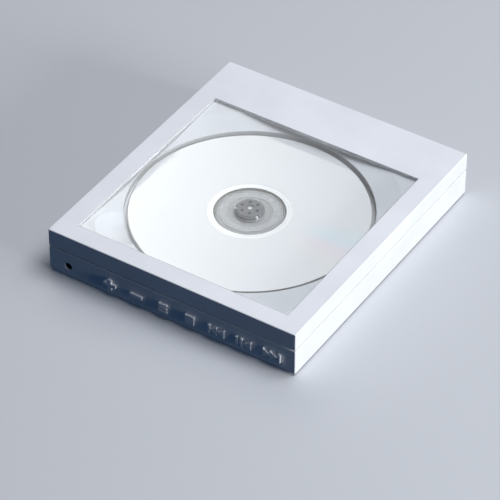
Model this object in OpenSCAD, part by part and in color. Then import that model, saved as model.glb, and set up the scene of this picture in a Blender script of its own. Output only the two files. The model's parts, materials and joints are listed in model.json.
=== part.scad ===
// Portable top-loading disc player shaped like a picture frame.
// X runs along the button face, Y points from the button face to the lid hinge, Z is up.
// The origin is the centre of the case on the plane that the feet rest on. Millimetres.

/* [Case] */
// Width of the case along the button face
case_w = 141; // [140:0.5:146]
// Depth of the case from the button face to the hinge
case_d = 160.2; // [160:0.2:164]
// Height of the closed case without its feet
case_h = 24.6; // [24.6:0.1:26]
// Height of the side walls of the lid
lid_h = 9.9; // [9.8:0.1:10]
// Gap seen between the lid and the base
seam_gap = 0.6; // [0.5:0.1:0.7]
// Thickness of the outer walls
wall = 2; // [1.8:0.1:2]
// Bevel on the outer edges
edge = 0.25; // [0.2:0.05:0.4]
// How far the feet stand out below the base
foot_h = 0.8; // [0.6:0.1:1.2]

/* [Window] */
// Side of the square window opening
window = 120; // [118:0.5:120]
// Distance of the window centre from the case centre, towards the button face
window_shift = 10; // [9:0.5:10.5]
// Thickness of the lid plate around the window
frame_t = 1.6; // [1.5:0.05:1.7]
// Depth of the pane below the top of the lid
pane_recess = 0.1; // [0:0.05:0.1]
// Gap around the pane in the window opening
pane_gap = 0.2; // [0.15:0.05:0.3]

/* [Disc and turntable] */
// Diameter of the disc
disc_d = 120; // [120]
// Thickness of the disc
disc_t = 1.2; // [1.2]
// Depth of the top of the disc below the top of the lid
disc_depth = 6.6; // [6.4:0.1:6.8]
// Height of the deck above the top of the disc
deck_rise = 1; // [0.9:0.05:1]
// Gap between the rim of the disc and the wall of its well
well_gap = 1.9; // [1.4:0.1:2]
// Depth of the well below the deck
well_depth = 4.2; // [4:0.1:4.2]
// Height of the hub above the disc
hub_rise = 2.2; // [1.8:0.1:2.4]

/* [Buttons] */
// Distance between neighbouring buttons
button_pitch = 15.4; // [15:0.1:15.4]
// Position of the first button along the face
button_x = -34.4; // [-34.4:0.1:-34]
// Depth of the button row below the top of the lid
button_drop = 18.1; // [17.9:0.1:18.3]
// How far the caps stand out of the face
button_proud = 1.2; // [1:0.1:1.4]
// Gap around each cap in the face
button_gap = 0.15; // [0.1:0.05:0.2]

/* [Pickup drive] */
// Distance of the lens from the disc centre at the start of the disc
lens_start = 23; // [23:0.5:24]
// Travel of the pickup sled
sled_travel = 33.5; // [30:0.5:33.5]
// Size of one tooth of the drive train, as a gear module
tooth_module = 0.5; // [0.5]
// Teeth of the two small gears
small_teeth = 12; // [12]
// Teeth of the large gear
large_teeth = 30; // [30]

/* [Hidden] */
$fn = 64;
eps = 0.01;

// Heights of the case, from the feet up
top_z = foot_h + case_h;
lid_z = top_z - lid_h;
rim_z = lid_z - seam_gap;
floor_z = foot_h + 1.8;
plate_z = top_z - frame_t;
inner_w = case_w - 2 * wall;
inner_d = case_d - 2 * wall;
face_y = -case_d / 2;

// Lid hinge: its axis lies in the inner face of the back wall
hinge_y = case_d / 2 - wall;
hinge_z = rim_z + 3.6;
hinge_x = 50;
knuckle_r = 1.9;
pin_r = 0.75;
ear_w = 6;
lid_knuckle_w = 5;
knuckle_gap = 0.3;
swing_r = norm([wall, hinge_z - lid_z]);
swing_gap = 0.4;

// Window pane with thin lugs in pockets of the lid plate
pane_top = top_z - pane_recess;
pane_side = window - 2 * pane_gap;
lug_w = 10;
lug_t = 0.6;
lug_end = window / 2 + 3;

// Ring that holds the lugs up: its collar lines the window opening, its flange is screwed to the lid
collar_low = plate_z - 1.2;
collar_end = window / 2 + 4.5;
ring_top = plate_z - 1.5;
ring_in = window / 2 + 3.5;
retainer_t = 1.2;
retainer_z = ring_top - retainer_t;
retainer_w = inner_w - 1.4;
retainer_front = face_y + wall + 0.7;
retainer_back = -window_shift + window / 2 + 7.8;
retainer_boss_x = window / 2 + 6.6;
retainer_boss_r = 1.5;
retainer_screw_places = concat(
    [for (side = [-1, 1], y = [-40, 0, 40]) [side * retainer_boss_x, y]],
    [for (side = [-1, 1]) [side * 30, -window_shift + retainer_boss_x]]
);
magnet_places = [for (side = [-1, 1]) [side * 64.2, -74]];
magnet_r = 1.5;
lid_magnet_t = 0.8;

// Disc, well and deck
disc_y = -window_shift;
disc_top = top_z - disc_depth;
disc_z = disc_top - disc_t;
deck_z = disc_top + deck_rise;
deck_t = 1.8;
panel_z = collar_low - 0.15;
panel_half = window / 2 + 2.5;
panel_in = panel_half - 1.8;
dish_z = deck_z + 0.1;
dish_w = 13;
deck_w = inner_w - 2;
deck_front = face_y + wall + 1;
deck_back = hinge_y - swing_r - swing_gap;
skirt_t = 1.6;
flange_t = 1.5;
well_r = disc_d / 2 + well_gap;
well_z = deck_z - well_depth;
well_t = 1.6;
scoop_r = 15.7;
scoop_depth = panel_z - well_z - 1.2;
scoop_ball_r = (scoop_r * scoop_r + scoop_depth * scoop_depth) / (2 * scoop_depth);
scoop_orbit = disc_d / 2 + 1;
scoop_turn = 226.5;
scoop_x = scoop_orbit * cos(scoop_turn);
scoop_y = disc_y + scoop_orbit * sin(scoop_turn);
post_r = 2.6;
case_screw_places = [[-47.5, -73.5], [64.5, -66], [-62, -18], [62, -18], [-61, 58], [61, 58]];
case_screw_r = 1.2;
boss_top = floor_z + 1.4;
foot_places = [for (x = [-60, 60], y = [-73, 73]) [x, y]];
foot_r = 4.5;
rest_pad_places = [for (x = [-66.2, 66.2], y = [-60, 50]) [x, y]];

// Sockets
jack_x = -59.4;
jack_z = top_z - 18.7;
jack_r = 1.8;
jack_hole_r = 2.2;
usb_x = -40;
usb_w = 8.94;
usb_h = 3.2;

// Boards
board_z = floor_z + 0.8;
board_t = 1;
board_top = board_z + board_t;
usb_z = board_top + usb_h / 2;
main_screw_places = [[-48, -34], [48, -34], [-30, -66], [44, -66]];
charge_screw_places = [[-53, 63], [-27, 63]];
key_board_y = face_y + 7.5;
key_board_t = 1.2;
switch_t = 1.6;

// Buttons, left to right as seen from the button face
button_z = top_z - button_drop;
button_half_w = [3.4, 3.35, 2.5, 2.5, 4.9, 4.75, 4.9];
button_half_h = [3.2, 1, 2.5, 2.5, 2.5, 2.5, 2.5];
flange_front = face_y + wall + 0.2;
flange_back = flange_front + 0.8;
stem_r = 1.2;
stem_end = key_board_y - switch_t - 0.1;

// Mechanism heights and places
chassis_z = floor_z + 7;
chassis_t = 1.6;
chassis_top = chassis_z + chassis_t;
grommet_places = [[-26, -21], [26, -21], [-26, 60], [38, 60]];
grommet_post_r = 1.5;
grommet_hole_r = 3.05;
grommet_low = chassis_z - 0.6;
grommet_high = chassis_top + 0.6;
rod_x = 12.6;
rod_z = chassis_z + 0.8;
rod_r = 1;
running = 0.05;
lens_y = disc_y + lens_start;
sled_w = 30;
sled_front = lens_y - 9.5;
sled_back = lens_y + 13.5;
sled_low = chassis_z - 1.2;
opening_x = 16.2;
opening_y = [sled_front - 1.1, sled_back + sled_travel + 1.8];
rod_block = 2.6;
chassis_x = [-30, 42];
chassis_y = [-25, opening_y[1] + rod_block];
sled_step = chassis_top + 1.2;
sled_high = chassis_top + 2.4;
motor_low = floor_z + 0.8;
spindle_motor_r = 11;
sled_motor_r = 6;
platter_z = disc_z - 1.7;
platter_r = 17.2;
pad_z = disc_z - 0.4;
hub_r = disc_d / 16 - 0.15;
hub_top = disc_top + hub_rise;
hub_bevel = 0.9;
hub_dish_r = 2.4;
dimple_orbit = 4.3;
dimple_r = 0.55;
pad_r = [11.5, 15];
stack_ring_r = [16.5, 17.7];
stack_ring_h = 0.2;
ball_turns = [90, 210, 330];
shaft_r = 1;
ball_r = 1;
ball_orbit = 7;
ball_z = disc_top + 0.9;

// Drive train
small_r = tooth_module * small_teeth / 2;
large_r = tooth_module * large_teeth / 2;
tooth_tip = 0.7 * tooth_module;
tooth_root = tooth_module;
backlash = 0.06;
pressure_angle = 20;
gear_y = 30;
rack_x = 20.5;
gear_x = rack_x + small_r;
motor_x = gear_x + large_r + small_r;
large_z = chassis_top + 0.15;
small_z = large_z + 1.1;
gear_t = 1;
rack_pitch = PI * tooth_module;
rack_low_teeth = -23;
rack_high_teeth = 1;
axle_r = 0.8;
motor_shaft_r = 0.75;
rack_screw_places = [[12.6, lens_y - 4], [12.6, lens_y + 8]];
motor_screw_orbit = 4.7;
motor_screw_places = [
    [-6, disc_y], [6, disc_y], [motor_x, gear_y - motor_screw_orbit], [motor_x, gear_y + motor_screw_orbit]
];

// ---- Shared shapes ----

// Outline of a box section with all four corners bevelled
module bevelled_section(w, low, high) {
    polygon([
        [-w / 2 + edge, low], [w / 2 - edge, low], [w / 2, low + edge], [w / 2, high - edge],
        [w / 2 - edge, high], [-w / 2 + edge, high], [-w / 2, high - edge], [-w / 2, low + edge]
    ]);
}

// Block with bevels on every outer edge
module bevelled_block(w, d, low, high) {
    intersection() {
        rotate([90, 0, 0])
            linear_extrude(d + 2, center = true) bevelled_section(w, low, high);
        rotate([90, 0, 90])
            linear_extrude(w + 2, center = true) bevelled_section(d, low, high);
        translate([0, 0, low - 1])
            linear_extrude(high - low + 2) bevelled_section(w, -d / 2, d / 2);
    }
}

// Straight block between two corners
module span(low, high) {
    translate(low) cube(high - low);
}

// Upright cylinder between two heights
module post(place, r, low, high) {
    translate([place[0], place[1], low]) cylinder(r = r, h = high - low);
}

// Tube or knuckle along X, centred on the hinge axis
module hinge_roll(x, r, w) {
    translate([x, hinge_y, hinge_z]) rotate([0, 90, 0]) cylinder(r = r, h = w, center = true);
}

// Screw with a flat crossed head; the head lies below the shank when flip is -1
module screw(place, seat, shank_r, shank, head_r, head, flip = 1) {
    post(place, shank_r, flip > 0 ? seat - shank : seat, flip > 0 ? seat : seat + shank);
    difference() {
        post(place, head_r, flip > 0 ? seat : seat - head, flip > 0 ? seat + head : seat);
        for (turn = [0, 90])
            translate([place[0], place[1], flip > 0 ? seat + head : seat - head])
                rotate(turn) cube([head_r * 1.3, head_r * 0.25, head], center = true);
    }
}

// ---- Lid ----

// Repeats a shape at the eight lugs, with the window centre as its origin and +X pointing outwards
module at_lugs() {
    for (turn = [0:90:270], along = [-20, 20])
        translate([0, -window_shift, 0]) rotate(turn) translate([0, along, 0]) children();
}

module lid_frame() color("white") difference() {
    union() {
        difference() {
            bevelled_block(case_w, case_d, lid_z, top_z);
            span([-inner_w / 2, -inner_d / 2, lid_z - 1], [inner_w / 2, inner_d / 2, plate_z]);
        }
        for (x = [-hinge_x, hinge_x], side = [-1, 1])
            hinge_roll(x + side * (ear_w / 2 + knuckle_gap + lid_knuckle_w / 2), knuckle_r, lid_knuckle_w);
        for (place = retainer_screw_places)
            post(place, retainer_boss_r, ring_top, plate_z + eps);
        for (x = [-30, 0, 30])
            span([x - 0.6, retainer_back + 0.6, retainer_z - 0.4], [x + 0.6, hinge_y + eps, plate_z + eps]);
    }
    translate([0, -window_shift, 0])
        span([-window / 2, -window / 2, plate_z - 1], [window / 2, window / 2, top_z + 1]);
    at_lugs() span([window / 2 - 1, -lug_w / 2 - 0.2, plate_z - 1],
                   [lug_end + 0.2, lug_w / 2 + 0.2, plate_z + lug_t + 0.05]);
    for (x = [-hinge_x, hinge_x]) {
        span([x - ear_w / 2 - knuckle_gap, hinge_y - knuckle_r - 1, lid_z - 1],
             [x + ear_w / 2 + knuckle_gap, case_d / 2 + 1, hinge_z + knuckle_r + 0.2]);
        hinge_roll(x, pin_r + running, ear_w + 2 * lid_knuckle_w + 2);
    }
    for (place = retainer_screw_places)
        post(place, 0.72, ring_top - 1, plate_z + 0.8);
}

module window_pane() color([0.85, 0.92, 0.95, 0.35]) {
    translate([0, -window_shift, (pane_top + plate_z) / 2])
        cube([pane_side, pane_side, pane_top - plate_z - 2 * eps], center = true);
    at_lugs() span([pane_side / 2 - 0.1, -lug_w / 2, plate_z + eps], [lug_end, lug_w / 2, plate_z + lug_t]);
}

// Square ring around the window centre
module square_ring(inner, outer, low, high) {
    translate([0, -window_shift, low]) linear_extrude(high - low) difference() {
        square(2 * outer, center = true);
        square(2 * inner, center = true);
    }
}

module window_retainer() color("white") difference() {
    union() {
        difference() {
            span([-retainer_w / 2, retainer_front, retainer_z], [retainer_w / 2, retainer_back, ring_top]);
            translate([0, -window_shift, 0])
                span([-ring_in, -ring_in, retainer_z - 1], [ring_in, ring_in, ring_top + 1]);
        }
        square_ring(ring_in - 0.5, collar_end, ring_top - eps, collar_low + eps);
        square_ring(window / 2, collar_end, collar_low, plate_z - eps);
    }
    for (place = retainer_screw_places)
        post(place, 0.85, retainer_z - 1, ring_top + 1);
}

module retainer_screws() color("silver")
    for (place = retainer_screw_places)
        screw(place, retainer_z, 0.7, 3.2, 1.3, 0.6, -1);

module lid_magnets() color("silver")
    for (place = magnet_places)
        post(place, magnet_r, retainer_z - lid_magnet_t, retainer_z);

// ---- Base ----

// One triangle of an icon, from its upright side at x to its point
module arrow(x, way) {
    polygon([[x, -2.5], [x, 2.5], [x + way * 3.95, 0]]);
}

module bar(x, y, w, h) {
    translate([x, y]) square([w, h], center = true);
}

// Outline of one icon, as wide or as high as the button's half sizes say
module icon(number) {
    if (number == 0) bar(0, 0, 6.8, 1.9);
    if (number == 0) bar(0, 0, 1.9, 6.4);
    if (number == 1) bar(0, 0, 6.7, 2);
    if (number == 2) for (row = [-1, 0, 1]) bar(0, row * 2, 5, 1);
    if (number == 3) bar(0, 0, 5, 5);
    if (number == 4) {
        bar(-4.35, 0, 1.1, 5);
        arrow(0.05, -1);
        arrow(4.2, -1);
    }
    if (number == 5) {
        bar(-4.2, 0, 1.1, 5);
        bar(-1.5, 0, 1.1, 5);
        arrow(3.85, -1);
    }
    if (number == 6) {
        arrow(-4.9, 1);
        arrow(-0.9, 1);
        bar(4.2, 0, 1.1, 5);
    }
}

// Turns an outline drawn on the button face into a prism between two depths
module face_prism(number, front, back) {
    translate([button_x + number * button_pitch, back, button_z])
        rotate([90, 0, 0]) linear_extrude(back - front) children();
}

// One cap: the icon that stands out, its flange behind the wall and its stem
module button_cap(number) color("white") {
    face_prism(number, face_y - button_proud, flange_back) icon(number);
    face_prism(number, flange_front, flange_back)
        bar(0, 0, 2 * button_half_w[number] + 2, 2 * button_half_h[number] + 2);
    face_prism(number, flange_front, stem_end) circle(r = stem_r, $fn = 48);
}

module base_ears() {
    for (x = [-hinge_x, hinge_x]) {
        hinge_roll(x, knuckle_r, ear_w);
        span([x - ear_w / 2, hinge_y, rim_z - 2], [x + ear_w / 2, hinge_y + knuckle_r, hinge_z]);
    }
}

module base_shell() color("white") difference() {
    union() {
        difference() {
            bevelled_block(case_w, case_d, foot_h, rim_z);
            span([-inner_w / 2, -inner_d / 2, floor_z], [inner_w / 2, inner_d / 2, rim_z + 1]);
        }
        base_ears();
        for (side = [-1, 1])
            span([side * inner_w / 2 - 1.2, -55, rim_z - flange_t - 2.1],
                 [side * inner_w / 2 + 1.2, 70, rim_z - flange_t - 0.1]);
        for (place = case_screw_places)
            post(place, 3.2, floor_z - eps, boss_top);
        for (place = concat(main_screw_places, charge_screw_places))
            post(place, 2.2, floor_z - eps, board_z);
        for (x = [-33, 0, 33])
            span([x - 3, key_board_y + key_board_t + 0.1, floor_z - eps],
                 [x + 3, key_board_y + key_board_t + 1, floor_z + 0.7]);
    }
    for (number = [0:6])
        face_prism(number, face_y - 1, face_y + wall + 1)
            offset(delta = button_gap) icon(number);
    translate([jack_x, face_y + wall + 1, jack_z])
        rotate([90, 0, 0]) cylinder(r = jack_hole_r, h = wall + 2);
    usb_opening(usb_w + 0.7, usb_h + 0.6, case_d / 2 - wall - 1, case_d / 2 + 1);
    for (place = case_screw_places) {
        post(place, case_screw_r + 0.15, foot_h - 1, boss_top + 1);
        post(place, 2.6, foot_h - 1, foot_h + 1.4);
    }
    for (place = concat(main_screw_places, charge_screw_places))
        post(place, 0.8, floor_z - 1.2, board_z + 1);
    for (place = foot_places)
        post(place, foot_r, foot_h - 1, foot_h + 0.4);
    for (x = [-hinge_x, hinge_x])
        hinge_roll(x, pin_r + 0.02, ear_w + 1);
}

// Slot with round ends, along Y between two depths
module usb_opening(w, h, front, back) {
    for (side = [-1, 1])
        translate([usb_x + side * (w - h) / 2, back, usb_z])
            rotate([90, 0, 0]) cylinder(r = h / 2, h = back - front);
    span([usb_x - (w - h) / 2, front, usb_z - h / 2], [usb_x + (w - h) / 2, back, usb_z + h / 2]);
}

// Square block around the window centre
module square_block(half, low, high) {
    translate([0, -window_shift, 0]) span([-half, -half, low], [half, half, high]);
}

// Cone that widens from low_r to the dish's outer edge, moved by shift along Z
module shallow_cone(low_r, shift) {
    translate([0, disc_y, dish_z + shift])
        cylinder(r1 = low_r, r2 = low_r + dish_w, h = panel_z - dish_z);
}

// Raised panel under the window, hollow from below
module deck_panel() {
    difference() {
        square_block(panel_half, deck_z - deck_t, panel_z);
        square_block(panel_in, deck_z - deck_t - 1, panel_z - deck_t);
    }
    intersection() {
        square_block(panel_half, deck_z - deck_t, panel_z);
        union() {
            shallow_cone(well_r + well_t, -deck_t);
            post([scoop_x, scoop_y], scoop_r + well_t, deck_z - deck_t, panel_z);
        }
    }
}

// Round recess for the disc, with a wide shallow dish around its mouth
module disc_recess() {
    post([0, disc_y], well_r, well_z, panel_z + 1);
    shallow_cone(well_r, 0);
    post([0, disc_y], well_r + dish_w, panel_z, panel_z + 1);
}

module deck() color("whitesmoke") difference() {
    union() {
        difference() {
            span([-deck_w / 2, deck_front, rim_z - flange_t], [deck_w / 2, deck_back, deck_z]);
            span([-deck_w / 2 + skirt_t, deck_front + skirt_t, rim_z - flange_t - 1],
                 [deck_w / 2 - skirt_t, deck_back - skirt_t, deck_z - deck_t]);
            square_block(panel_in, deck_z - deck_t - 1, deck_z + 1);
        }
        deck_panel();
        difference() {
            span([-inner_w / 2 + 0.1, -inner_d / 2 + 0.1, rim_z - flange_t],
                 [inner_w / 2 - 0.1, inner_d / 2 - 0.1, rim_z]);
            span([-deck_w / 2 + skirt_t, deck_front + skirt_t, rim_z - flange_t - 1],
                 [deck_w / 2 - skirt_t, deck_back - skirt_t, rim_z + 1]);
        }
        post([0, disc_y], well_r + well_t, well_z - well_t, deck_z);
        post([scoop_x, scoop_y], scoop_r + well_t, well_z - well_t, deck_z);
        for (place = case_screw_places)
            post(place, post_r, boss_top + 0.05, deck_z - eps);
        for (place = grommet_places) {
            post(place, 3, grommet_high + 0.05, deck_z - deck_t + eps);
            post(place, grommet_post_r, grommet_low, deck_z - deck_t);
        }
        for (place = magnet_places)
            post(place, magnet_r + 0.6, deck_z - deck_t - 1.6, deck_z - deck_t + eps);
    }
    disc_recess();
    post([0, disc_y], platter_r + 2, well_z - well_t - 1, well_z + 1);
    span([-8.5, disc_y, well_z - well_t - 1], [8.5, disc_y + well_r + 0.8, well_z + eps]);
    translate([scoop_x, scoop_y, panel_z + scoop_ball_r - scoop_depth])
        sphere(r = scoop_ball_r, $fn = 128);
    for (place = case_screw_places)
        post(place, case_screw_r + 0.02, boss_top - 1, boss_top + 8);
    for (place = grommet_places)
        post(place, 0.82, grommet_low - 1, grommet_high + 0.4);
    for (place = magnet_places)
        post(place, magnet_r, deck_z - deck_t - 2, deck_z - deck_t);
}

module case_screws() color("silver")
    for (place = case_screw_places)
        screw(place, foot_h + 1.4, case_screw_r, 8, 2.3, 1.2, -1);

module rubber_feet() color("dimgray")
    for (place = foot_places)
        translate([place[0], place[1], 0]) {
            cylinder(r1 = foot_r - 0.6, r2 = foot_r - 0.2, h = foot_h);
            translate([0, 0, foot_h - eps]) cylinder(r = foot_r - 0.2, h = 0.4);
        }

module hinge_pins() color("silver")
    for (x = [-hinge_x, hinge_x])
        hinge_roll(x, pin_r, ear_w + 2 * lid_knuckle_w - 0.4);

module deck_magnets() color("silver")
    for (place = magnet_places)
        post(place, magnet_r - 0.02, deck_z - deck_t - 1.5, deck_z - deck_t);

module lid_rest_pads() color("dimgray")
    for (place = rest_pad_places)
        post(place, 1.2, deck_z, retainer_z - 0.05);

// ---- Electronics ----

module lid_sensor() color("black")
    translate([60, key_board_y + key_board_t, button_z + 1.6]) cube([3, 1, 3]);

module main_board() color("seagreen") difference() {
    union() {
        span([-64, -69.8, board_z], [58, -30, board_top]);
        span([-66, face_y + wall + 0.5, board_z], [-53, -69, board_top]);
    }
    for (place = main_screw_places)
        post(place, 0.85, board_z - 1, board_top + 1);
}

// Chip or connector on a board
module chip(x, y, w, d, h) {
    translate([x, y, board_top + h / 2]) cube([w, d, h], center = true);
}

module board_components() color("dimgray") {
    chip(-14, -50, 9, 9, 1);
    chip(6, -48, 12, 12, 1.2);
    chip(26, -56, 7, 7, 0.9);
    chip(46, -48, 14, 18, 2);
    chip(-8, -33.4, 13, 4, 1.6);
    chip(6, -63.3, 14, 4, 1.6);
    chip(-48.5, -41, 8, 5, 3.4);
    for (x = [-38, -31.5, -25])
        post([x, -56], 2.5, board_top, board_top + 5);
    for (x = [-36:4:-24], y = [-44, -40])
        chip(x, y, 1.6, 0.8, 0.6);
}

module board_screws() color("silver")
    for (place = concat(main_screw_places, charge_screw_places))
        screw(place, board_top, 0.75, 2.6, 1.5, 0.7);

module headphone_jack() color("black") difference() {
    union() {
        span([jack_x - 3.2, face_y + wall + 0.1, board_top],
             [jack_x + 3.2, face_y + wall + 12.6, jack_z + 2.4]);
        translate([jack_x, face_y + wall + 1, jack_z])
            rotate([90, 0, 0]) cylinder(r = jack_hole_r - 0.1, h = 1.9);
    }
    translate([jack_x, face_y + wall + 12, jack_z])
        rotate([90, 0, 0]) cylinder(r = jack_r, h = 14);
}

module usb_socket() color("silver") {
    difference() {
        usb_opening(usb_w, usb_h, case_d / 2 - 9.3, case_d / 2 - wall - 0.1);
        usb_opening(usb_w - 0.6, usb_h - 0.6, case_d / 2 - 8.3, case_d / 2);
    }
    span([usb_x - 3.35, case_d / 2 - 8.5, usb_z - 0.35],
         [usb_x + 3.35, case_d / 2 - wall - 1.2, usb_z + 0.35]);
}

module charge_board() color("seagreen") difference() {
    span([-56, 60, board_z], [-24, hinge_y - 0.4, board_top]);
    for (place = charge_screw_places)
        post(place, 0.85, board_z - 1, board_top + 1);
}

module battery() color("slategray")
    span([-66, -9, floor_z + 0.2], [-34, 50, floor_z + 6]);

module battery_leads() color("firebrick")
    for (x = [-50, -47])
        translate([x, -9.05, board_top + 1.6])
            rotate([90, 0, 0]) cylinder(r = 0.5, h = 29.4);

module key_board() color("seagreen")
    span([-43, key_board_y, floor_z + 0.2], [64, key_board_y + key_board_t, button_z + 4.7]);

module key_switches() color("gray") difference() {
    for (number = [0:6])
        face_prism(number, key_board_y - switch_t, key_board_y) square(5, center = true);
    for (number = [0:6])
        face_prism(number, key_board_y - switch_t - 1, key_board_y - 0.4)
            circle(r = stem_r + 0.3, $fn = 48);
}

module key_flex() color("darkorange") {
    key_back = key_board_y + key_board_t;
    span([0, key_back + 0.05, board_top + 0.5], [12, key_back + 0.2, button_z + 1]);
    span([0, key_back + 0.05, board_top + 0.5], [12, -65.4, board_top + 0.7]);
}

module pickup_flex() color("darkorange") {
    span([-12, -29.8, floor_z + 0.1], [-4, 44, floor_z + 0.3]);
    span([-12, -29.8, floor_z + 0.1], [-4, -29.6, board_top + 1]);
    span([-12, -31.3, board_top + 0.8], [-4, -29.6, board_top + 1]);
    span([-12, 43.8, floor_z + 0.1], [-4, 44, sled_low - 0.6]);
    span([-12, 15, sled_low - 0.8], [-4, 44, sled_low - 0.6]);
}

// ---- Disc mechanism that stays still ----

module mechanism_chassis() color("dimgray") difference() {
    union() {
        span([chassis_x[0], chassis_y[0], chassis_z], [chassis_x[1], chassis_y[1], chassis_top]);
        for (x = [-rod_x, rod_x], y = [opening_y[0] - rod_block - 0.4, opening_y[1]])
            span([x - 2.4, y, chassis_z], [x + 2.4, y + rod_block, chassis_top + 1]);
    }
    span([-opening_x, opening_y[0], chassis_z - 1], [opening_x, opening_y[1], chassis_top + 3]);
    span([31, chassis_y[0] - 1, chassis_z - 1], [chassis_x[1] + 1, 18, chassis_top + 1]);
    post([0, disc_y], 3.2, chassis_z - 1, chassis_top + 1);
    post([motor_x, gear_y], 2, chassis_z - 1, chassis_top + 1);
    post([gear_x, gear_y], axle_r + 0.01, chassis_z - 1, chassis_top + 1);
    for (place = grommet_places)
        post(place, grommet_hole_r, chassis_z - 1, chassis_top + 1);
    for (place = motor_screw_places)
        post(place, 0.85, chassis_z - 1, chassis_top + 1);
    for (x = [-rod_x, rod_x])
        translate([x, opening_y[1] + 2.4, rod_z])
            rotate([90, 0, 0]) cylinder(r = rod_r + 0.01, h = opening_y[1] - opening_y[0] + 5);
}

module damper_grommets() color("black")
    for (place = grommet_places)
        translate([place[0], place[1], 0]) rotate_extrude($fn = 64)
            polygon([
                [grommet_post_r + 0.05, grommet_low], [4.2, grommet_low],
                [4.2, chassis_z - eps], [grommet_hole_r - 0.05, chassis_z - eps],
                [grommet_hole_r - 0.05, chassis_top + eps], [4.2, chassis_top + eps],
                [4.2, grommet_high], [grommet_post_r + 0.05, grommet_high]
            ]);

module grommet_screws() color("silver")
    for (place = grommet_places)
        screw(place, grommet_low - 0.02, 0.8, 3, 3, 0.8, -1);

module spindle_motor() color("silver") difference() {
    union() {
        post([0, disc_y], spindle_motor_r, motor_low, chassis_z - 1);
        post([0, disc_y], spindle_motor_r - 1.5, chassis_z - 1 - eps, chassis_z - 0.02);
        post([0, disc_y], 3, chassis_z - 1, chassis_top + 0.8);
    }
    post([0, disc_y], shaft_r + running, motor_low + 0.6, chassis_top + 2);
    for (x = [-6, 6])
        post([x, disc_y], 0.78, chassis_z - 2.2, chassis_z + 1);
}

module sled_motor() color("silver") difference() {
    post([motor_x, gear_y], sled_motor_r, motor_low, chassis_z - 0.02);
    post([motor_x, gear_y], motor_shaft_r + running, motor_low + 0.6, chassis_top);
    for (side = [-1, 1])
        post([motor_x, gear_y + side * motor_screw_orbit], 0.78, chassis_z - 2.2, chassis_z + 1);
}

module motor_screws() color("silver")
    for (place = motor_screw_places)
        screw(place, chassis_top, 0.75, 3.4, 1.3, 0.6);

module guide_rods() color("silver")
    for (x = [-rod_x, rod_x])
        translate([x, opening_y[1] + 2.2, rod_z])
            rotate([90, 0, 0]) cylinder(r = rod_r, h = opening_y[1] - opening_y[0] + 4.6);

module gear_axle() color("silver")
    post([gear_x, gear_y], axle_r, chassis_z, small_z + gear_t + 0.2);

module limit_switch() color("black")
    span([-23, 3, chassis_top], [-17, 9, chassis_top + 2.2]);

// ---- Parts that spin with the disc ----

module turntable() color("darkgray") difference() {
    translate([0, disc_y, 0]) rotate_extrude($fn = 96)
        polygon([
            [shaft_r + 0.01, chassis_top + 1.3], [3.6, chassis_top + 1.3], [3.6, platter_z],
            [platter_r - 0.3, platter_z], [platter_r, platter_z + 0.3], [platter_r, pad_z - 0.2],
            [platter_r - 0.2, pad_z], [hub_r, pad_z], [hub_r, hub_top - hub_bevel],
            [hub_r - hub_bevel, hub_top], [hub_dish_r, hub_top], [hub_dish_r, hub_top - 0.5],
            [shaft_r + 0.01, hub_top - 0.5]
        ]);
    for (turn = ball_turns)
        translate([0, disc_y, 0]) rotate(turn)
            span([4.6, -1.15, ball_z - 1.1], [hub_r + 1, 1.15, ball_z + 1.1]);
    for (turn = [0:60:300])
        translate([dimple_orbit * cos(turn), disc_y + dimple_orbit * sin(turn), hub_top - 0.4])
            cylinder(r = dimple_r, h = 1, $fn = 32);
}

module turntable_pad() color("dimgray")
    translate([0, disc_y, 0]) rotate_extrude($fn = 96)
        translate([pad_r[0], pad_z]) square([pad_r[1] - pad_r[0], disc_z - pad_z - eps / 2]);

module spindle_shaft() color("silver")
    post([0, disc_y], shaft_r, motor_low + 0.8, hub_top - 0.3);

module clamp_balls() color("silver")
    for (turn = ball_turns)
        translate([ball_orbit * cos(turn), disc_y + ball_orbit * sin(turn), ball_z])
            sphere(r = ball_r, $fn = 48);

module clamp_springs() color("silver")
    for (turn = ball_turns)
        translate([0, disc_y, ball_z]) rotate(turn)
            translate([4.65, 0, 0]) rotate([0, 90, 0]) cylinder(r = 0.8, h = 1.3);

module disc() color("white")
    translate([0, disc_y, 0]) rotate_extrude($fn = 160)
        polygon([
            [disc_d / 16, disc_z], [stack_ring_r[0], disc_z],
            [stack_ring_r[0] + 0.3, disc_z - stack_ring_h],
            [stack_ring_r[1] - 0.3, disc_z - stack_ring_h], [stack_ring_r[1], disc_z],
            [disc_d / 2 - 0.1, disc_z], [disc_d / 2, disc_z + 0.1],
            [disc_d / 2, disc_top - 0.1], [disc_d / 2 - 0.1, disc_top], [disc_d / 16, disc_top]
        ]);

// ---- Pickup and its drive ----

module pickup_sled() color("dimgray") difference() {
    union() {
        span([-sled_w / 2, sled_front, sled_low], [sled_w / 2, sled_back, sled_step]);
        span([-9.5, sled_front, sled_low], [9.5, sled_back, sled_high]);
    }
    translate([-rod_x, sled_back + 1, rod_z])
        rotate([90, 0, 0]) cylinder(r = rod_r + running, h = sled_back - sled_front + 2);
    span([rod_x - 1.4, sled_front - 1, rod_z - rod_r - running],
         [sled_w / 2 + 1, sled_back + 1, rod_z + rod_r + running]);
    for (place = rack_screw_places)
        post(place, 0.72, sled_step - 0.9, sled_step + 1);
    post([5, lens_y + 8], 2.8, sled_low - 1, sled_low + 1);
}

// Straight rack tooth with its middle at y = 0, pointing along +X from the pitch line
module rack_tooth() {
    half = rack_pitch / 4 - backlash;
    tip = half - tooth_tip * tan(pressure_angle);
    root = half + tooth_root * tan(pressure_angle);
    polygon([[-tooth_root - eps, -root], [tooth_tip, -tip], [tooth_tip, tip], [-tooth_root - eps, root]]);
}

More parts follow.
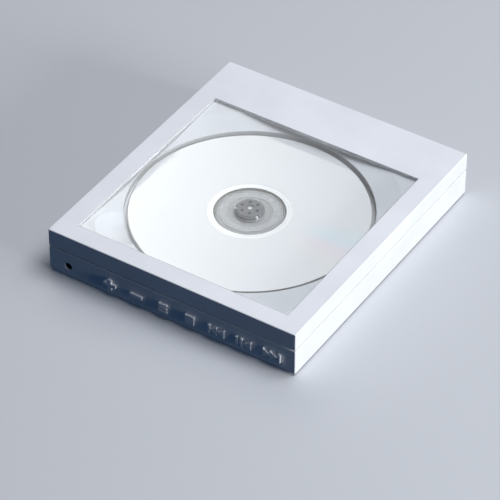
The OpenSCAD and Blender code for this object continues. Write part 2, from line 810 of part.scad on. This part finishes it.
module sled_rack() color("ivory") difference() {
    union() {
        span([rack_x - tooth_root - 1.8, gear_y + rack_low_teeth * rack_pitch - 0.8, small_z + 0.05],
             [rack_x - tooth_root, gear_y + rack_high_teeth * rack_pitch + 1.6, small_z + 0.95]);
        span([10.2, lens_y - 7, small_z + 0.05], [rack_x - tooth_root - 1, lens_y + 11, small_z + 0.95]);
        for (step = [rack_low_teeth:rack_high_teeth])
            translate([rack_x, gear_y + (step + 0.5) * rack_pitch, small_z + 0.05])
                linear_extrude(0.9) rack_tooth();
    }
    for (place = rack_screw_places)
        post(place, 0.8, small_z - 1, small_z + 3);
}

module rack_screws() color("silver")
    for (place = rack_screw_places)
        screw(place, small_z + 0.95, 0.7, 1.7, 1.3, 0.35);

module focus_magnets() color("silver")
    for (side = [-1, 1])
        translate([0, lens_y + side * 3.9, sled_high + 0.95]) cube([7, 1, 1.9], center = true);

module laser_diode() color("goldenrod")
    post([5, lens_y + 8], 2.75, sled_low - 2.2, sled_low + 0.98);

module lens_holder() color("black") difference() {
    translate([0, lens_y, sled_high + 1.25]) cube([9, 6, 1.5], center = true);
    post([0, lens_y], 2.02, sled_high, sled_high + 3);
}

module objective_lens() color([0.6, 0.7, 0.9, 0.6])
    translate([0, lens_y, 0]) rotate_extrude($fn = 64)
        polygon([
            [0, sled_high + 0.9], [2, sled_high + 0.9], [2, sled_high + 2.1],
            [1.5, sled_high + 2.4], [0, sled_high + 2.6]
        ]);

// Involute of an angle, in degrees
function involute(angle) = (tan(angle) - angle * PI / 180) * 180 / PI;

// Half the angle that a tooth fills at radius r, for a gear with pitch radius p
function half_tooth(r, p, teeth) =
    90 / teeth - backlash / p * 180 / PI + involute(pressure_angle)
    - involute(acos(min(1, p * cos(pressure_angle) / r)));

// Corners of one tooth in order, from its low side to its high side
function tooth_points(p, teeth, turn) =
    let (base = p * cos(pressure_angle), low = p - tooth_root, high = p + tooth_tip)
    let (radii = [low, base, (base + high) / 2, high])
    let (halves = [for (r = radii) half_tooth(max(r, base), p, teeth)])
    concat(
        [for (i = [0:3]) radii[i] * [cos(turn - halves[i]), sin(turn - halves[i])]],
        [for (i = [3:-1:0]) radii[i] * [cos(turn + halves[i]), sin(turn + halves[i])]]
    );

module gear_outline(p, teeth) {
    polygon([for (i = [0:teeth - 1]) each tooth_points(p, teeth, i * 360 / teeth)]);
}

module drive_gear() color("ivory") translate([gear_x, gear_y, 0]) difference() {
    union() {
        translate([0, 0, large_z]) linear_extrude(gear_t) gear_outline(large_r, large_teeth);
        translate([0, 0, large_z + gear_t - eps])
            linear_extrude(small_z - large_z + eps) gear_outline(small_r, small_teeth);
    }
    post([0, 0], axle_r + running, large_z - 1, small_z + 3);
}

module motor_pinion() color("ivory") translate([motor_x, gear_y, 0]) difference() {
    translate([0, 0, large_z]) rotate(180 / small_teeth)
        linear_extrude(gear_t) gear_outline(small_r, small_teeth);
    post([0, 0], motor_shaft_r + 0.01, large_z - 1, small_z + 3);
}

module motor_shaft() color("silver")
    post([motor_x, gear_y], motor_shaft_r, motor_low + 0.8, large_z + gear_t + 0.6);

lid_frame();
window_pane();
window_retainer();
retainer_screws();
lid_magnets();
base_shell();
deck();
case_screws();
rubber_feet();
hinge_pins();
deck_magnets();
lid_rest_pads();
lid_sensor();
main_board();
board_components();
board_screws();
headphone_jack();
usb_socket();
charge_board();
battery();
battery_leads();
key_board();
key_switches();
key_flex();
pickup_flex();
mechanism_chassis();
damper_grommets();
grommet_screws();
spindle_motor();
sled_motor();
motor_screws();
guide_rods();
gear_axle();
limit_switch();
turntable();
turntable_pad();
spindle_shaft();
clamp_balls();
clamp_springs();
disc();
pickup_sled();
sled_rack();
rack_screws();
focus_magnets();
laser_diode();
lens_holder();
objective_lens();
drive_gear();
motor_pinion();
motor_shaft();
button_cap(0);  // button_plus
button_cap(1);  // button_minus
button_cap(2);  // button_menu
button_cap(3);  // button_stop
button_cap(4);  // button_previous
button_cap(5);  // button_play_pause
button_cap(6);  // button_next
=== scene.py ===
"""Looks of the portable disc player: materials, the printed disc, soft studio light and the camera."""

import json
import math

import bmesh
import bpy
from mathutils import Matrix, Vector


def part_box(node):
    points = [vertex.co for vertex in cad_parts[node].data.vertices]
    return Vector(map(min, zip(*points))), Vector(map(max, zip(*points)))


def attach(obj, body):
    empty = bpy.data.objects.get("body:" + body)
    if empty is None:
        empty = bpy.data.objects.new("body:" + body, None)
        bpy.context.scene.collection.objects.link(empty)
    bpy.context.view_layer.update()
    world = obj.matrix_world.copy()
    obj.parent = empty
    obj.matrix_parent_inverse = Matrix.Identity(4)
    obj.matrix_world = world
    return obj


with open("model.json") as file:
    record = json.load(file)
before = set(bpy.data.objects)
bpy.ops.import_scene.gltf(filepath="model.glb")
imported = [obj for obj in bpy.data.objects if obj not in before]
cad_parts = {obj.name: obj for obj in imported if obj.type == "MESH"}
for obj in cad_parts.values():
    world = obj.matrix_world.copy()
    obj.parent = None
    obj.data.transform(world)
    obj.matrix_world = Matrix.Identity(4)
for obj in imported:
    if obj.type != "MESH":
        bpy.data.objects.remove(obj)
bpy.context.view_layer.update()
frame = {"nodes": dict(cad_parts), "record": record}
NODES = frame["nodes"]
MM = 0.001

# ---- Places, all worked out from the frame ----

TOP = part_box("lid_frame")[1].z
DISC_LOW, DISC_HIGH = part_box("disc")
DISC_CENTRE = (DISC_LOW + DISC_HIGH) / 2
DISC_R = (DISC_HIGH.x - DISC_LOW.x) / 2

# ---- Sizes the boxes don't show ----

# In millimetres from the disc's axis: wall of the well, edge of the hub, ring of small holes on the hub
WELL_R = 61.9
HUB_R = 7.7
HOLE_ORBIT = 4.3
HOLE_STEP = math.radians(60)
WINDOW_HALF = 60 * MM
PRINT_INNER_R, PRINT_OUTER_R = 21 * MM, DISC_R - 0.5 * MM
MIRROR_INNER_R, MIRROR_OUTER_R = 18 * MM, DISC_R - 0.4 * MM
FILM_T = 0.03 * MM

# ---- Node tree helpers ----


class Tree:
    """A material's node tree, with short ways to add and join nodes."""

    def __init__(self, name):
        self.material = bpy.data.materials.new(name)
        self.material.use_nodes = True
        self.nodes = self.material.node_tree.nodes
        self.links = self.material.node_tree.links
        self.shader = self.nodes["Principled BSDF"]
        self.output = self.nodes["Material Output"]
        self.coordinates = self.add("ShaderNodeTexCoord").outputs["Object"]

    def add(self, kind, **settings):
        node = self.nodes.new(kind)
        for key, value in settings.items():
            setattr(node, key, value)
        return node

    def feed(self, socket, value):
        if isinstance(value, bpy.types.NodeSocket):
            self.links.new(value, socket)
        else:
            socket.default_value = value

    def set(self, **values):
        for key, value in values.items():
            self.feed(self.shader.inputs[key.replace("_", " ")], value)

    def noise(self, per_mm, detail=4.0, stretch=(1, 1, 1)):
        """Grey noise whose grains are about 1 / per_mm wide."""
        spread = self.add("ShaderNodeMapping")
        self.feed(spread.inputs["Vector"], self.coordinates)
        spread.inputs["Scale"].default_value = stretch
        node = self.add("ShaderNodeTexNoise")
        self.feed(node.inputs["Vector"], spread.outputs[0])
        node.inputs["Scale"].default_value = per_mm / MM
        node.inputs["Detail"].default_value = detail
        return node.outputs["Fac"]

    def ramp(self, value, low, high, out_low=0.0, out_high=1.0):
        """Maps value from low..high to out_low..out_high, held at both ends."""
        node = self.add("ShaderNodeMapRange")
        keys = ("Value", "From Min", "From Max", "To Min", "To Max")
        for key, number in zip(keys, (value, low, high, out_low, out_high)):
            self.feed(node.inputs[key], number)
        return node.outputs[0]

    def math(self, operation, a, b=0.0):
        node = self.add("ShaderNodeMath", operation=operation)
        self.feed(node.inputs[0], a)
        self.feed(node.inputs[1], b)
        return node.outputs[0]

    def mix(self, factor, a, b):
        node = self.add("ShaderNodeMix", data_type="RGBA")
        self.feed(node.inputs[0], factor)
        self.feed(node.inputs[6], (*a, 1) if isinstance(a, tuple) else a)
        self.feed(node.inputs[7], (*b, 1) if isinstance(b, tuple) else b)
        return node.outputs[2]

    def edges(self, radius=0.4):
        """1 on sharp outer edges and corners, fading to 0 on flat faces."""
        bevel = self.add("ShaderNodeBevel", samples=4)
        bevel.inputs["Radius"].default_value = radius * MM
        dot = self.add("ShaderNodeVectorMath", operation="DOT_PRODUCT")
        self.links.new(bevel.outputs[0], dot.inputs[0])
        self.links.new(self.geometry("Normal"), dot.inputs[1])
        return self.ramp(dot.outputs["Value"], 0.98, 0.75)

    def split(self, vector):
        """The x, y and z of a vector."""
        node = self.add("ShaderNodeSeparateXYZ")
        self.links.new(vector, node.inputs[0])
        return node.outputs[0], node.outputs[1], node.outputs[2]

    def geometry(self, output):
        return self.add("ShaderNodeNewGeometry").outputs[output]

    def from_disc_centre(self):
        """Place along X, Y and Z, counted from the middle of the disc and of the window over it."""
        shift = self.add("ShaderNodeVectorMath", operation="SUBTRACT")
        self.feed(shift.inputs[0], self.coordinates)
        shift.inputs[1].default_value = DISC_CENTRE
        return self.split(shift.outputs[0])

    def above(self, low, high):
        """0 below the height low, rising to 1 at the height high."""
        return self.ramp(self.split(self.coordinates)[2], low, high)

    def inside_opening(self):
        """1 within the window's outline as seen from above, and 0 elsewhere."""
        x, y, _ = self.from_disc_centre()
        away = self.math("MAXIMUM", self.math("ABSOLUTE", x), self.math("ABSOLUTE", y))
        return self.math("LESS_THAN", away, WINDOW_HALF + 0.1 * MM)

    def bump(self, height, depth, strength=0.5):
        node = self.add("ShaderNodeBump")
        node.inputs["Strength"].default_value = strength
        node.inputs["Distance"].default_value = depth * MM
        self.feed(node.inputs["Height"], height)
        return node.outputs[0]

    def polar(self):
        """Distance in millimetres and turn in radians around the disc's axis."""
        x, y, _ = self.from_disc_centre()
        squares = self.math("ADD", self.math("MULTIPLY", x, x), self.math("MULTIPLY", y, y))
        return self.math("DIVIDE", self.math("SQRT", squares), MM), self.math("ARCTAN2", y, x)


# ---- Materials ----


def scaled(colour, factor):
    return tuple(min(1.0, c * factor) for c in colour)


def grey(level):
    return (level, level, level)


def moulded(name, colour, roughness, grain=3.0, depth=0.01, wear=grey(1.0), dust_and_painted_shade=1.0, opening_shade=1.0):
    """Moulded plastic: fine skin grain, faint cloudy tone, slightly polished and paler edges.

    Below 1, the well-shade argument paints shade on the disc well's walls that look away from the side light,
    and the opening-shade argument paints shade over this plastic inside the window's outline seen from above:
    the walls of the window opening, and also the shell's floor under the window."""
    t = Tree(name)
    body = t.mix(t.ramp(t.noise(0.03, 3), 0.35, 0.65), scaled(colour, 0.97), scaled(colour, 1.04))
    # Painted shade on the disc well's walls that face away from the side light
    if dust_and_painted_shade < 1.0:
        body = t.mix(free_of_painted_shade(t), scaled(colour, dust_and_painted_shade), body)
    # Painted shade over this plastic inside the window's outline seen from above, for the walls of the window
    # opening; it also darkens the shell's floor under the window
    if opening_shade < 1.0:
        body = t.mix(t.inside_opening(), body, scaled(colour, opening_shade))
    edge = t.edges()
    t.set(Base_Color=t.mix(t.math("MULTIPLY", edge, 0.3), body, wear), Specular_IOR_Level=0.35)
    smears = t.ramp(t.noise(0.08, 5), 0.4, 0.7, roughness * 0.85, roughness * 1.15)
    t.set(Roughness=t.math("SUBTRACT", smears, t.math("MULTIPLY", edge, roughness * 0.3)))
    t.set(Normal=t.bump(t.noise(grain, 2), depth))
    return t.material


def free_of_painted_shade(t):
    """0 where painted shade falls on the disc well's walls that look away from the side light, 1 elsewhere.
    """
    high = t.above(DISC_HIGH.z - 1.0 * MM, DISC_HIGH.z + 0.6 * MM)
    outside = t.ramp(t.polar()[0], WELL_R + 0.2, WELL_R + 0.8)
    lit = t.ramp(t.split(t.geometry("Normal"))[0], -0.7, -0.1)
    return t.math("MAXIMUM", t.math("MAXIMUM", high, outside), lit)


def metal(name, colour, roughness, brush=(1, 1, 1), grain=6.0):
    """Bare metal with brushed or turned grain and brighter worn edges."""
    t = Tree(name)
    lines = t.noise(grain, 3, brush)
    shine = t.math("MAXIMUM", t.ramp(lines, 0.3, 0.7), t.edges(0.2))
    t.set(Base_Color=t.mix(shine, scaled(colour, 0.85), scaled(colour, 1.15)))
    t.set(Metallic=1.0, Roughness=t.ramp(lines, 0.2, 0.8, roughness * 0.7, roughness * 1.3))
    t.set(Normal=t.bump(lines, 0.004))
    return t.material


def rubber(name, colour, roughness=0.75):
    """Soft rubber: matt, dusty in patches, with a fine pitted skin."""
    t = Tree(name)
    dust_and_painted_shade = t.ramp(t.noise(0.4, 6), 0.45, 0.75)
    t.set(Base_Color=t.mix(dust_and_painted_shade, colour, tuple(c * 1.35 + 0.02 for c in colour)))
    t.set(Roughness=t.ramp(dust_and_painted_shade, 0, 1, roughness, min(1.0, roughness * 1.2)))
    t.set(Normal=t.bump(t.noise(5, 3), 0.02))
    return t.material


def clear(name, tint, roughness, ior, smudge=0.01, sides=None):
    """Clear plastic or glass: bends what is seen through it, and lets lamp light pass straight.

    sides is the grey of its upright faces, left matt by the saw or the mould; a low grey there is also
    painted shade."""
    t = Tree(name)
    marks = t.ramp(t.noise(0.05, 6), 0.5, 0.8, roughness, roughness + smudge)
    t.set(Base_Color=(*tint, 1), Roughness=marks, IOR=ior, Transmission_Weight=1.0)
    t.set(Normal=t.bump(t.noise(0.5, 3), 0.0002, 0.2))
    if sides is not None:
        flat = t.ramp(t.math("ABSOLUTE", t.split(t.geometry("True Normal"))[2]), 0.3, 0.5)
        t.set(Base_Color=t.mix(flat, grey(sides), tint), Transmission_Weight=t.ramp(flat, 0, 1, 0.3, 1.0))
        t.set(Roughness=t.mix(flat, grey(0.5), marks))
    path = t.add("ShaderNodeLightPath")
    straight = t.math("MAXIMUM", path.outputs["Is Shadow Ray"], path.outputs["Is Diffuse Ray"])
    entering = t.math("SUBTRACT", 1.0, t.geometry("Backfacing"))
    mirrored = t.add("ShaderNodeFresnel")
    mirrored.inputs["IOR"].default_value = ior
    kept = t.math("POWER", t.math("SUBTRACT", 1.0, t.math("MULTIPLY", mirrored.outputs[0], entering)), 2.0)
    pass_through = t.add("ShaderNodeBsdfTransparent")
    t.feed(pass_through.inputs[0], t.mix(kept, grey(0.0), tuple(c ** 0.5 for c in tint)))
    both = t.add("ShaderNodeMixShader")
    t.feed(both.inputs[0], straight)
    t.links.new(t.shader.outputs[0], both.inputs[1])
    t.links.new(pass_through.outputs[0], both.inputs[2])
    t.links.new(both.outputs[0], t.output.inputs["Surface"])
    return t.material


def board(name, mask):
    """Circuit board: solder mask over thin tracks and round pads."""
    t = Tree(name)
    cells = t.add("ShaderNodeTexBrick")
    t.feed(cells.inputs["Vector"], t.coordinates)
    cells.inputs["Scale"].default_value = 0.35 / MM
    cells.inputs["Mortar Size"].default_value = 0.03
    tracks = cells.outputs["Fac"]
    pads = t.add("ShaderNodeTexVoronoi")
    t.feed(pads.inputs["Vector"], t.coordinates)
    pads.inputs["Scale"].default_value = 0.3 / MM
    dots = t.ramp(pads.outputs["Distance"], 0.16, 0.12)
    over = t.mix(tracks, mask, tuple(c * 1.5 + 0.02 for c in mask))
    gold = (0.75, 0.66, 0.42)
    t.set(Base_Color=t.mix(dots, over, gold), Roughness=0.35, Metallic=dots)
    t.set(Normal=t.bump(t.math("MAXIMUM", tracks, dots), 0.03), Coat_Weight=0.4)
    return t.material


def film(name, colour, roughness=0.3):
    """Thin wrap or flexible film with a soft crinkle."""
    t = Tree(name)
    crinkle = t.noise(0.15, 4, (1, 3, 1))
    t.set(Base_Color=t.mix(crinkle, scaled(colour, 0.8), colour))
    t.set(Roughness=t.ramp(crinkle, 0.2, 0.8, roughness * 0.8, roughness * 1.4))
    t.set(Normal=t.bump(crinkle, 0.08, 0.4), Coat_Weight=0.3)
    return t.material


def disc_print():
    """White varnished print with a painted rainbow sheen: a faint streak on its right, fixed on the disc,
    standing in for the data side's colours catching the lamps.
    """
    t = Tree("disc_print")
    r, turn = t.polar()
    rings = t.math("SINE", t.math("MULTIPLY", r, 9.0))
    paper = t.mix(t.ramp(rings, -1, 1, 0.0, 0.25), (0.93, 0.94, 0.95), (0.88, 0.9, 0.92))
    # Painted sheen: warm, then cyan, in a streak along the disc's +X side
    warm_sheen = t.mix(t.ramp(turn, -0.3, -0.08), (0.99, 0.95, 0.85), (0.97, 0.88, 0.94))
    rainbow_sheen = t.mix(t.ramp(turn, -0.04, 0.1), warm_sheen, (0.8, 0.94, 0.99))
    sheen_streak = t.math("MULTIPLY", t.ramp(t.math("ABSOLUTE", turn), 0.36, 0.1), t.ramp(r, 24, 42))
    t.set(Base_Color=t.mix(t.math("MULTIPLY", sheen_streak, 0.85), paper, rainbow_sheen))
    t.set(Roughness=t.ramp(t.noise(0.05, 4), 0.4, 0.7, 0.16, 0.22))
    t.set(Coat_Weight=1.0, Coat_Roughness=0.02, Coat_IOR=2.2)
    t.set(Normal=t.bump(t.noise(1.2, 2), 0.002, 0.2))
    return t.material


def disc_mirror():
    """Data side: metal under plastic, with colours that change from the middle to the rim."""
    t = Tree("disc_mirror")
    r = t.polar()[0]
    bands = t.ramp(t.math("SINE", t.math("MULTIPLY", r, 4.0)), -1, 1)
    t.set(Base_Color=t.mix(bands, (0.8, 0.82, 0.84), (0.72, 0.74, 0.78)), Metallic=1.0, Roughness=0.12)
    t.set(Thin_Film_Thickness=t.ramp(r, 20, 60, 380.0, 560.0), Thin_Film_IOR=1.5)
    return t.material


def turntable_plastic():
    """One moulding: pale where it carries the disc, darker on the hub, with painted black shade in and around
    the hub's small holes.
    """
    t = Tree("hub_plastic")
    r, turn = t.polar()
    # Distance to the nearest hole by the law of cosines
    aside = t.math("COSINE", t.math("PINGPONG", turn, HOLE_STEP / 2))
    squares = t.math("SUBTRACT", t.math("ADD", t.math("MULTIPLY", r, r), HOLE_ORBIT ** 2),
                     t.math("MULTIPLY", t.math("MULTIPLY", r, aside), 2 * HOLE_ORBIT))
    # Painted shade: black spreads past the small holes' rims
    hole_shade = t.ramp(t.math("SQRT", t.math("MAXIMUM", squares, 0.0)), 1.05, 0.7)
    cloud = t.ramp(t.noise(0.2, 4), 0.3, 0.7, 0.9, 1.1)
    tone = t.mix(t.ramp(r, HUB_R - 0.2, HUB_R + 0.2), (0.16, 0.165, 0.18), (0.33, 0.345, 0.36))
    shade = t.add("ShaderNodeVectorMath", operation="SCALE")
    t.feed(shade.inputs[0], t.mix(hole_shade, tone, grey(0.01)))
    t.feed(shade.inputs["Scale"], cloud)
    t.set(Base_Color=t.mix(t.math("MULTIPLY", t.edges(0.3), 0.3), shade.outputs[0], grey(0.5)))
    t.set(Roughness=t.ramp(t.noise(0.3, 4), 0.3, 0.7, 0.26, 0.36), Specular_IOR_Level=0.4)
    t.set(Normal=t.bump(t.math("SINE", t.math("MULTIPLY", r, 22.0)), 0.001, 0.3))
    return t.material


WHITE = (0.855, 0.86, 0.885)
DECK_WHITE = (0.84, 0.85, 0.87)
# Painted light: the button caps are the case's white plastic, made paler so their lit top and right sides
# look brighter
CAP_WHITE_PAINTED_LIT = (0.96, 0.965, 0.98)
# Share of the lid's white left where painted shade darkens the walls of the window opening; the same painted
# shade covers the whole retainer and reaches the shell's floor under the window
OPENING_SHADE = 0.68
MATERIALS = {
    "white_plastic": lambda: moulded("white_plastic", WHITE, 0.5, opening_shade=OPENING_SHADE),
    # The deck's well walls that face away from the side light are painted down to a quarter of its white, as
    # shade
    "deck_plastic": lambda: moulded("deck_plastic", DECK_WHITE, 0.5, 2.0, 0.015, dust_and_painted_shade=0.25),
    # The whole retainer is the lid's white, painted darker as shade
    "retainer_plastic_painted_shade": lambda: moulded("retainer_plastic_painted_shade", scaled(WHITE, OPENING_SHADE), 0.5),
    # Caps in the paler, painted-lit white
    "cap_plastic_painted_lit": lambda: moulded("cap_plastic_painted_lit", CAP_WHITE_PAINTED_LIT, 0.35),
    # The pane's upright faces are greyed to 0.6 as painted shade, for the thin dark line round the window
    "clear_plastic": lambda: clear("clear_plastic", (0.985, 0.995, 0.995), 0.0, 1.49, 0.0, sides=0.6),
    "disc_plastic": lambda: clear("disc_plastic", (0.97, 0.975, 0.98), 0.02, 1.55, sides=0.92),
    "hub_plastic": turntable_plastic,
    "black_plastic": lambda: moulded("black_plastic", grey(0.025), 0.45, wear=grey(0.2)),
    "gear_plastic": lambda: moulded("gear_plastic", (0.78, 0.75, 0.66), 0.4),
    "soft_rubber": lambda: rubber("soft_rubber", grey(0.035)),
    "pad_rubber": lambda: rubber("pad_rubber", (0.44, 0.455, 0.465)),
    "steel": lambda: metal("steel", (0.62, 0.63, 0.64), 0.32),
    "bright_steel": lambda: metal("bright_steel", (0.6, 0.61, 0.63), 0.4, grain=9.0),
    "motor_can": lambda: metal("motor_can", (0.6, 0.61, 0.62), 0.36, (1, 1, 8)),
    "chassis_steel": lambda: moulded("chassis_steel", grey(0.06), 0.5, 1.5, 0.02, wear=grey(0.5)),
    "circuit_board": lambda: board("circuit_board", (0.015, 0.12, 0.06)),
    "battery_wrap": lambda: film("battery_wrap", (0.06, 0.1, 0.17)),
    "red_cable": lambda: rubber("red_cable", (0.4, 0.02, 0.02), 0.5),
    "flex_film": lambda: film("flex_film", (0.55, 0.24, 0.05)),
    "laser_brass": lambda: metal("laser_brass", (0.83, 0.62, 0.3), 0.2),
    "lens_glass": lambda: clear("lens_glass", (0.8, 0.86, 0.98), 0.0, 1.6, 0.0),
}
BUTTONS = [n for n in NODES if n.startswith("button_")]
OWN_LOOKS = dict.fromkeys(BUTTONS, "cap_plastic_painted_lit") | {"window_retainer": "retainer_plastic_painted_shade"}


def dress(obj, material):
    obj.data.materials.clear()
    obj.data.materials.append(material)


def dress_cad_nodes():
    """Every piece gets the look of its slot, but for the few that have a look of their own."""
    made = {}
    for part in frame["record"]["subparts"]:
        look = OWN_LOOKS.get(part["node"], part["material_slot"])
        if look not in made:
            made[look] = MATERIALS[look]()
        dress(NODES[part["node"]], made[look])


# ---- Geometry on top of the CAD parts ----

# Width of the rounding in millimetres
ROUNDED = {
    "lid_frame": 0.08, "base_shell": 0.08, "deck": 0.15, "window_pane": 0.1, "window_retainer": 0.15,
    "turntable": 0.3,
}
ROUNDED |= dict.fromkeys(BUTTONS, 0.06)


def round_edges(obj, width, segments=3, angle=28):
    """Rounds every edge sharper than angle degrees."""
    bevel = obj.modifiers.new("round_edges", "BEVEL")
    bevel.width = width * MM
    bevel.segments = segments
    bevel.limit_method = "ANGLE"
    bevel.angle_limit = math.radians(angle)
    bevel.use_clamp_overlap = True
    bevel.harden_normals = False


def annulus(name, centre, inner, outer, low, high, steps=256):
    """Flat ring with its own thickness and softly bevelled rims."""
    soft = min(0.02 * MM, (high - low) / 3)
    profile = [(inner + soft, low), (outer - soft, low), (outer, low + soft), (outer, high - soft),
               (outer - soft, high), (inner + soft, high), (inner, high - soft), (inner, low + soft)]
    mesh = bpy.data.meshes.new(name)
    work = bmesh.new()
    middle = Vector((centre.x, centre.y, 0))
    rings = []
    for i in range(steps):
        turn = 2 * math.pi * i / steps
        way = Vector((math.cos(turn), math.sin(turn), 0))
        rings.append([work.verts.new(middle + way * r + Vector((0, 0, z))) for r, z in profile])
    for i in range(steps):
        here, there = rings[i], rings[(i + 1) % steps]
        for j in range(len(profile)):
            k = (j + 1) % len(profile)
            work.faces.new((here[j], there[j], there[k], here[k]))
    bmesh.ops.recalc_face_normals(work, faces=work.faces)
    work.to_mesh(mesh)
    work.free()
    obj = bpy.data.objects.new(name, mesh)
    bpy.context.scene.collection.objects.link(obj)
    return obj


def build_disc_layers():
    """The printed face and the mirrored data layer of the disc."""
    face, buried = DISC_HIGH.z, DISC_HIGH.z - 3 * FILM_T
    printed = annulus("disc_print_layer", DISC_CENTRE, PRINT_INNER_R, PRINT_OUTER_R, face, face + FILM_T)
    dress(printed, disc_print())
    mirror = annulus("disc_data_layer", DISC_CENTRE, MIRROR_INNER_R, MIRROR_OUTER_R, buried, buried + FILM_T)
    dress(mirror, disc_mirror())
    for piece in (printed, mirror):
        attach(piece, "spindle")


# ---- Studio ----


def fade_out(data, margin):
    """Lets a lamp fall off softly towards its borders, like cloth over a softbox."""
    data.use_nodes = True
    nodes, links = data.node_tree.nodes, data.node_tree.links
    split = nodes.new("ShaderNodeSeparateXYZ")
    links.new(nodes.new("ShaderNodeNewGeometry").outputs["Parametric"], split.inputs[0])
    strength = None
    for side in (0, 1):
        middle = nodes.new("ShaderNodeMath")
        middle.operation = "PINGPONG"
        links.new(split.outputs[side], middle.inputs[0])
        middle.inputs[1].default_value = 0.5
        soft = nodes.new("ShaderNodeMapRange")
        soft.interpolation_type = "SMOOTHSTEP"
        links.new(middle.outputs[0], soft.inputs["Value"])
        soft.inputs["From Max"].default_value = margin
        if strength is None:
            strength = soft.outputs[0]
        else:
            both = nodes.new("ShaderNodeMath")
            both.operation = "MULTIPLY"
            links.new(strength, both.inputs[0])
            links.new(soft.outputs[0], both.inputs[1])
            strength = both.outputs[0]
    links.new(strength, nodes["Emission"].inputs["Strength"])


# Name, place and size in metres, watts, colour, and the share of the border that fades out
LAMPS = [
    ("glow_box", (-0.856, 0.761, 0.944), (1.4, 0.9), 10, (1.0, 0.99, 0.96), 0.5),
    ("top_box", (0.5, 0.3, 1.65), (1.0, 1.0), 22, (0.93, 0.955, 1.0), 0.0),
    ("side_box", (1.5, 0.05, 0.28), (0.7, 0.4), 24, (0.95, 0.98, 1.0), 0.0),
]
LAMP_AIM = Vector((0, 0, 0.02))


def area_light(name, place, size, power, colour, margin):
    data = bpy.data.lights.new(name, "AREA")
    data.shape = "RECTANGLE"
    data.size, data.size_y = size
    data.energy = power
    data.color = colour
    if margin:
        fade_out(data, margin)
    obj = bpy.data.objects.new(name, data)
    obj.location = place
    obj.rotation_euler = (LAMP_AIM - Vector(place)).to_track_quat("-Z", "Y").to_euler()
    bpy.context.scene.collection.objects.link(obj)


def build_floor():
    mesh = bpy.data.meshes.new("floor")
    reach = 6.0
    corners = [(-reach, -reach, 0), (reach, -reach, 0), (reach, reach, 0), (-reach, reach, 0)]
    mesh.from_pydata(corners, [], [(0, 1, 2, 3)])
    floor = bpy.data.objects.new("floor", mesh)
    bpy.context.scene.collection.objects.link(floor)
    t = Tree("floor")
    t.set(Base_Color=t.mix(t.noise(0.002, 3), (0.60, 0.61, 0.63), (0.62, 0.63, 0.65)), Roughness=0.6)
    dress(floor, t.material)
    floor.visible_diffuse = False
    floor.visible_glossy = False


def build_light():
    """A weak blue sky for the shaded button face, and the lamps."""
    world = bpy.data.worlds.new("studio")
    bpy.context.scene.world = world
    world.use_nodes = True
    sky = world.node_tree.nodes["Background"]
    sky.inputs["Color"].default_value = (0.19, 0.46, 1.0, 1)
    sky.inputs["Strength"].default_value = 0.065
    for lamp in LAMPS:
        area_light(*lamp)


# A long lens, seen from the right of the button face and from above it; distances in metres
AZIMUTH, ELEVATION, DISTANCE = math.radians(32.90), math.radians(40.52), 1.4149
CAMERA_AIM = Vector((0.0197, -0.0403, TOP))
LENS, SENSOR = 213.05, 36


def build_camera():
    flat = math.cos(ELEVATION)
    away = Vector((math.sin(AZIMUTH) * flat, -math.cos(AZIMUTH) * flat, math.sin(ELEVATION)))
    data = bpy.data.cameras.new("camera")
    data.lens, data.sensor_width = LENS, SENSOR
    data.clip_start, data.clip_end = 0.05, 20
    camera = bpy.data.objects.new("camera", data)
    camera.location = CAMERA_AIM + away * DISTANCE
    camera.rotation_euler = (-away).to_track_quat("-Z", "Y").to_euler()
    bpy.context.scene.collection.objects.link(camera)
    bpy.context.scene.camera = camera


dress_cad_nodes()
for node_name, width in ROUNDED.items():
    round_edges(NODES[node_name], width)
build_disc_layers()
build_floor()
build_light()
build_camera()
bpy.context.scene.view_settings.view_transform = "Standard"
